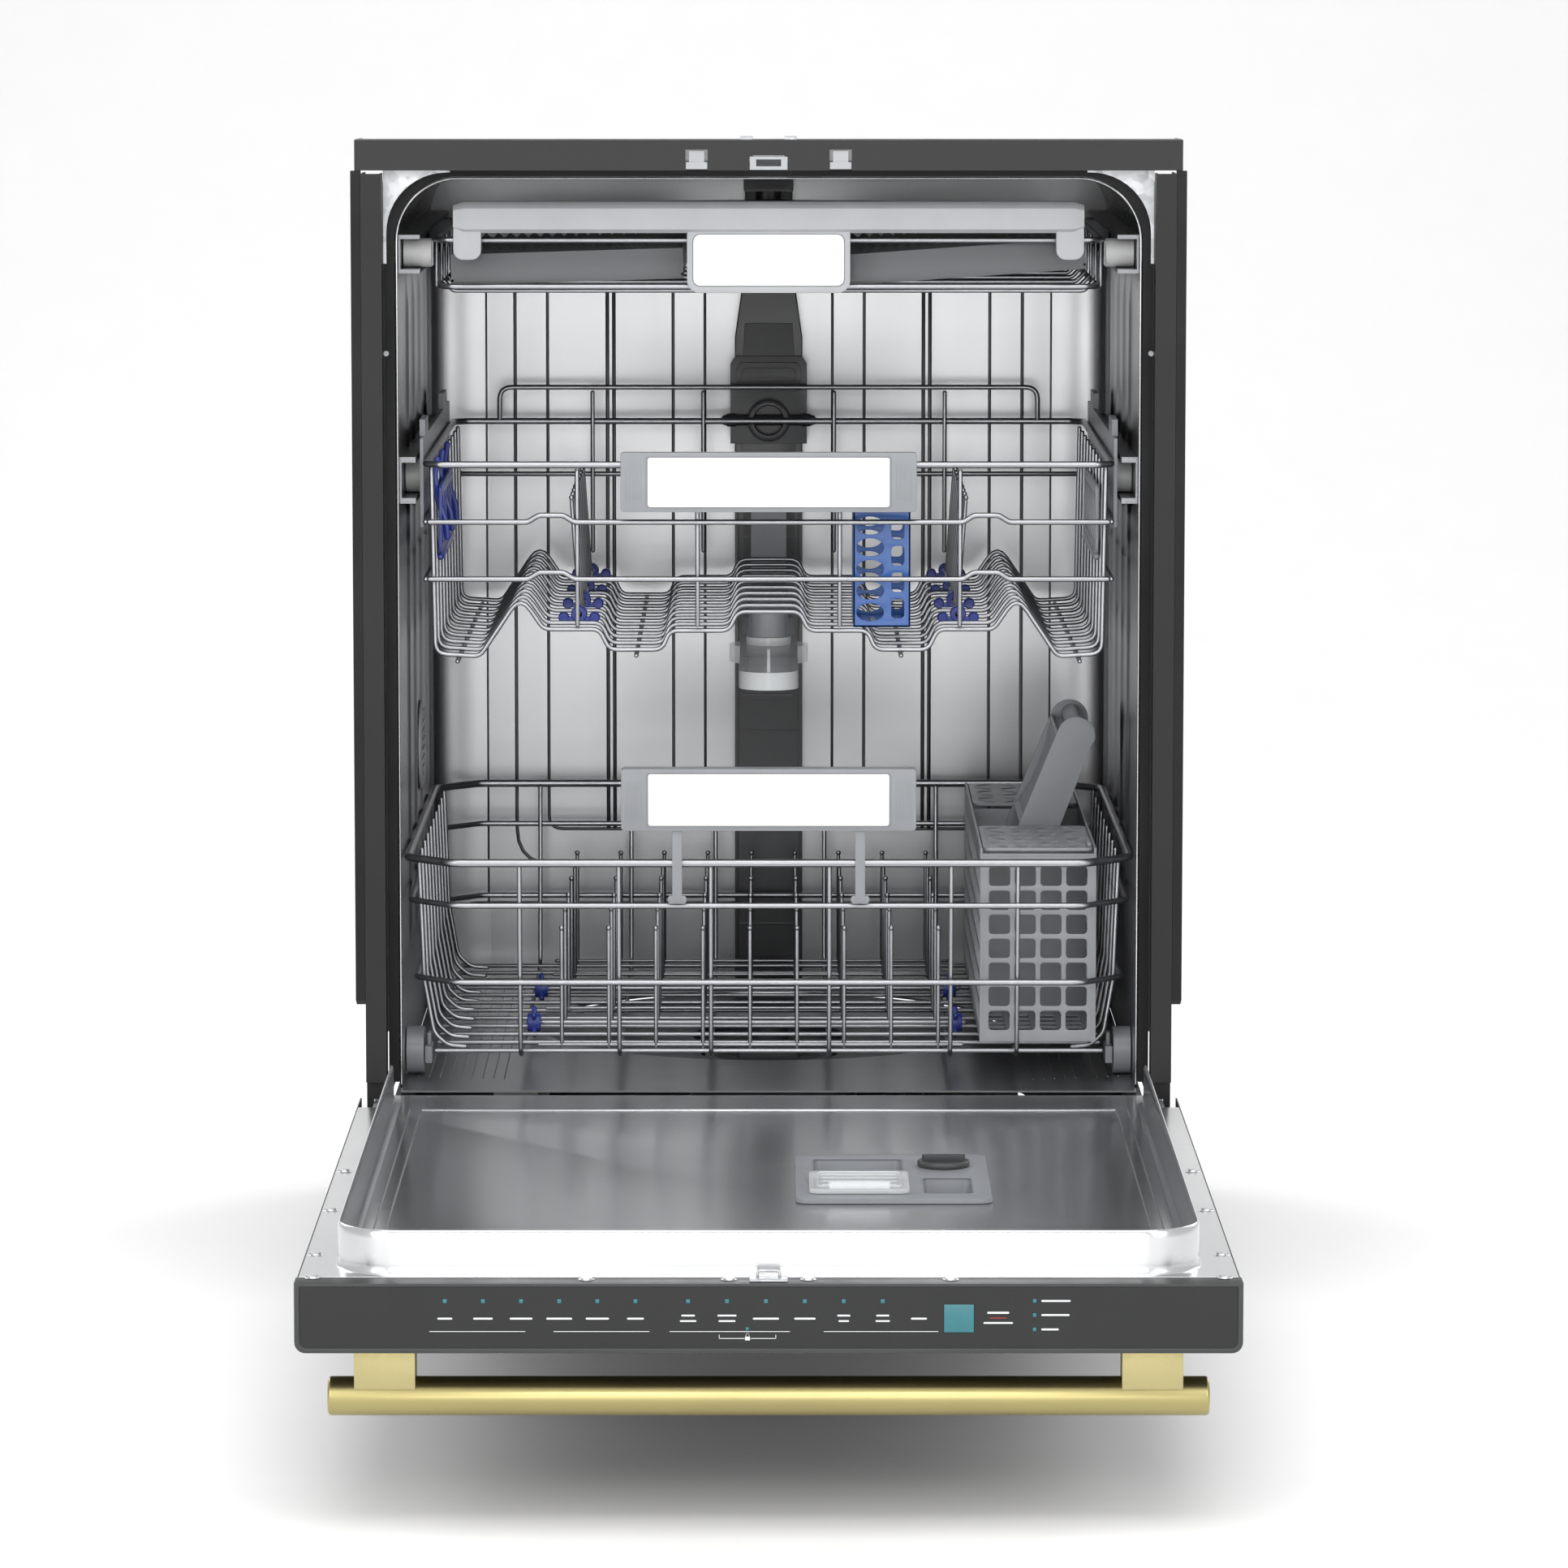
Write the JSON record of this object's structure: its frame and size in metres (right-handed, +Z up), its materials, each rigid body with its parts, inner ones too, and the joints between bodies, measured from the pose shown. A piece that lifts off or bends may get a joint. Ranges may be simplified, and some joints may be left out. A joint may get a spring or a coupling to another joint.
{
  "type": "built in dishwasher",
  "caption": "Under-counter dishwasher with a drop-down door, bar handle, two pull-out wire racks, a cutlery rack and a silverware basket.",
  "frame": {"origin": "on the floor, under the centre of the box that holds the machine with its door open", "axes": "+Z up, +Y from the door to the rear wall, +X to the right seen from the front"},
  "size_m": [0.604, 1.3031, 0.862],
  "materials": {
    "stainless": "brushed stainless, fine vertical grain, soft sheen",
    "rack_wire": "smooth grey coated wire",
    "black_paint": "satin black paint",
    "strip_dark": "satin dark grey",
    "panel_dark": "smooth dark grey",
    "galvanised": "zinc coated sheet",
    "black_plastic": "fine moulded texture",
    "seal_rubber": "matte soft rubber",
    "blanket": "needled felt blanket",
    "duct_plastic": "dark grey moulded, part gloss",
    "sump_plastic": "dark grey moulded",
    "light_plastic": "light grey moulded",
    "mid_plastic": "grey moulded",
    "white_plastic": "white moulded",
    "pump_metal": "die cast",
    "blue_plastic": "deep blue moulded",
    "brass_satin": "brushed satin gold",
    "clear_plastic": "clear slightly frosted",
    "display_teal": "lit teal window",
    "spring_steel": "oiled spring wire",
    "screw_steel": "bright plated"
  },
  "bodies": {
    "machine": {"base_pan": "black_plastic", "levelling_feet": "black_plastic", "toe_kick": "black_paint", "frame_posts": "black_paint", "side_seals": "seal_rubber", "top_strip": "strip_dark", "strip_fittings": "light_plastic", "mounting_brackets": "galvanised", "tub_shell": "stainless", "tub_gasket": "seal_rubber", "insulation_blanket": "blanket", "sump_housing": "sump_plastic", "pumps": "pump_metal", "inlet_valve": "white_plastic", "junction_box": "galvanised", "rear_duct": "duct_plastic", "air_break": "white_plastic", "rack_rails": "stainless", "door_springs": "spring_steel"},
    "filter": {"filter_cup": "sump_plastic"},
    "low_arm": {"lower_spray_arm": "mid_plastic"},
    "top_arm": {"ceiling_spray_arm": "light_plastic"},
    "door": {"door_outer_panel": "black_paint", "door_liner": "stainless", "control_panel": "panel_dark", "panel_display": "display_teal", "handle_bar": "brass_satin", "handle_posts": "brass_satin", "liner_screws": "screw_steel", "door_striker": "light_plastic", "hinge_arms": "galvanised", "dispenser_body": "mid_plastic"},
    "detergent_cover": {"dispenser_lid": "clear_plastic"},
    "rinse_aid_cap": {"rinse_cap": "sump_plastic"},
    "lower_rack": {"lower_wires": "rack_wire", "lower_handle": "light_plastic"},
    "low_wheels_front": {"lower_wheels_front": "mid_plastic"},
    "low_wheels_rear": {"lower_wheels_rear": "mid_plastic"},
    "tine_row_front": {"lower_tines_front": "rack_wire"},
    "tine_row_rear": {"lower_tines_rear": "rack_wire"},
    "basket": {"silverware_basket": "mid_plastic"},
    "basket_grip": {"basket_handle": "light_plastic"},
    "basket_cover": {"basket_lids": "light_plastic"},
    "upper_rack": {"upper_wires": "rack_wire", "upper_handle": "light_plastic", "upper_carriers": "mid_plastic", "upper_feed_tube": "mid_plastic", "utensil_holder": "blue_plastic"},
    "up_wheels_front": {"upper_wheels_front": "white_plastic"},
    "up_wheels_rear": {"upper_wheels_rear": "white_plastic"},
    "tine_fan_left": {"upper_tines_left": "rack_wire"},
    "tine_fan_right": {"upper_tines_right": "rack_wire"},
    "shelf_left": {"cup_shelf_left": "blue_plastic"},
    "shelf_right": {"cup_shelf_right": "light_plastic"},
    "mid_arm": {"upper_spray_arm": "clear_plastic"},
    "cutlery_rack": {"cutlery_frame": "rack_wire", "cutlery_front_bar": "light_plastic", "cutlery_tray_left": "mid_plastic", "cutlery_tray_right": "light_plastic"},
    "cutlery_roller_pair": {"cutlery_rollers": "white_plastic"}
  },
  "joints": [
    {"name": "door_hinge", "type": "hinge", "parent": "machine", "child": "door", "pos_m": [0, 0.0645, 0.144], "axis": [-1, 0, 0], "range_deg": [0, 90]},
    {"name": "bottom_rack_slide", "type": "slide", "parent": "machine", "child": "lower_rack", "axis": [0, 1, 0], "range_m": [-0.49, 0]},
    {"name": "middle_rack_slide", "type": "slide", "parent": "machine", "child": "upper_rack", "axis": [0, 1, 0], "range_m": [-0.42, 0]},
    {"name": "cutlery_rack_slide", "type": "slide", "parent": "machine", "child": "cutlery_rack", "axis": [0, 1, 0], "range_m": [-0.39, 0]},
    {"name": "wheels_low_front_roll", "type": "hinge", "parent": "lower_rack", "child": "low_wheels_front", "pos_m": [0, 0.1765, 0.1825], "axis": [1, 0, 0], "range_deg": [-5, 1610]},
    {"name": "wheels_low_rear_roll", "type": "hinge", "parent": "lower_rack", "child": "low_wheels_rear", "pos_m": [0, 0.5115, 0.1825], "axis": [1, 0, 0], "range_deg": [-5, 1610]},
    {"name": "wheels_mid_front_roll", "type": "hinge", "parent": "upper_rack", "child": "up_wheels_front", "pos_m": [0, 0.1785, 0.611], "axis": [1, 0, 0], "range_deg": [-5, 1930]},
    {"name": "wheels_mid_rear_roll", "type": "hinge", "parent": "upper_rack", "child": "up_wheels_rear", "pos_m": [0, 0.5515, 0.611], "axis": [1, 0, 0], "range_deg": [-5, 1930]},
    {"name": "rollers_cutlery_roll", "type": "hinge", "parent": "cutlery_rack", "child": "cutlery_roller_pair", "pos_m": [0, 0.1565, 0.776], "axis": [1, 0, 0], "range_deg": [-5, 2135]},
    {"name": "tine_row_front_fold", "type": "hinge", "parent": "lower_rack", "child": "tine_row_front", "pos_m": [0, 0.2345, 0.194], "axis": [-1, 0, 0], "range_deg": [0, 75]},
    {"name": "tine_row_rear_fold", "type": "hinge", "parent": "lower_rack", "child": "tine_row_rear", "pos_m": [0, 0.4085, 0.194], "axis": [-1, 0, 0], "range_deg": [0, 75]},
    {"name": "tine_fan_left_fold", "type": "hinge", "parent": "upper_rack", "child": "tine_fan_left", "pos_m": [-0.141, 0.3365, 0.5052], "axis": [0, 1, 0], "range_deg": [0, 80]},
    {"name": "tine_fan_right_fold", "type": "hinge", "parent": "upper_rack", "child": "tine_fan_right", "pos_m": [0.141, 0.3365, 0.5052], "axis": [0, -1, 0], "range_deg": [0, 80]},
    {"name": "shelf_left_fold", "type": "hinge", "parent": "upper_rack", "child": "shelf_left", "pos_m": [-0.241, 0.2365, 0.553], "axis": [0, 1, 0], "range_deg": [0, 85]},
    {"name": "shelf_right_fold", "type": "hinge", "parent": "upper_rack", "child": "shelf_right", "pos_m": [0.241, 0.2365, 0.553], "axis": [0, -1, 0], "range_deg": [0, 85]},
    {"name": "silverware_lift", "type": "slide", "parent": "lower_rack", "child": "basket", "axis": [0, 0, 1], "range_m": [0, 0.045]},
    {"name": "silverware_handle_tilt", "type": "hinge", "parent": "basket", "child": "basket_grip", "pos_m": [0.199, 0.3475, 0.322], "axis": [0, 1, 0], "range_deg": [-60, 0]},
    {"name": "silverware_lids_hinge", "type": "hinge", "parent": "basket", "child": "basket_cover", "pos_m": [0.237, 0.3475, 0.3392], "axis": [0, 1, 0], "range_deg": [0, 95]},
    {"name": "detergent_cover_slide", "type": "slide", "parent": "door", "child": "detergent_cover", "axis": [0, 1, 0], "range_m": [0, 0.06]},
    {"name": "rinse_cap_turn", "type": "hinge", "parent": "door", "child": "rinse_aid_cap", "pos_m": [0.12, -0.2435, 0.168], "axis": [0, 0, 1], "range_deg": [0, 90]},
    {"name": "filter_turn", "type": "hinge", "parent": "machine", "child": "filter", "pos_m": [0, 0.3015, 0.15], "axis": [0, 0, 1], "range_deg": [0, 90]},
    {"name": "spray_arm_low_spin", "type": "hinge", "parent": "machine", "child": "low_arm", "pos_m": [0, 0.4165, 0.17], "axis": [0, 0, 1], "continuous": true},
    {"name": "spray_arm_mid_spin", "type": "hinge", "parent": "upper_rack", "child": "mid_arm", "pos_m": [0, 0.3585, 0.46], "axis": [0, 0, 1], "continuous": true},
    {"name": "spray_arm_top_spin", "type": "hinge", "parent": "machine", "child": "top_arm", "pos_m": [0, 0.3965, 0.8], "axis": [0, 0, 1], "continuous": true}
  ],
  "couplings": [
    {"joint": "wheels_low_front_roll", "follows": "bottom_rack_slide", "rad_per_m": -57.143},
    {"joint": "wheels_low_rear_roll", "follows": "bottom_rack_slide", "rad_per_m": -57.143},
    {"joint": "wheels_mid_front_roll", "follows": "middle_rack_slide", "rad_per_m": -80},
    {"joint": "wheels_mid_rear_roll", "follows": "middle_rack_slide", "rad_per_m": -80},
    {"joint": "rollers_cutlery_roll", "follows": "cutlery_rack_slide", "rad_per_m": -95.238}
  ]
}
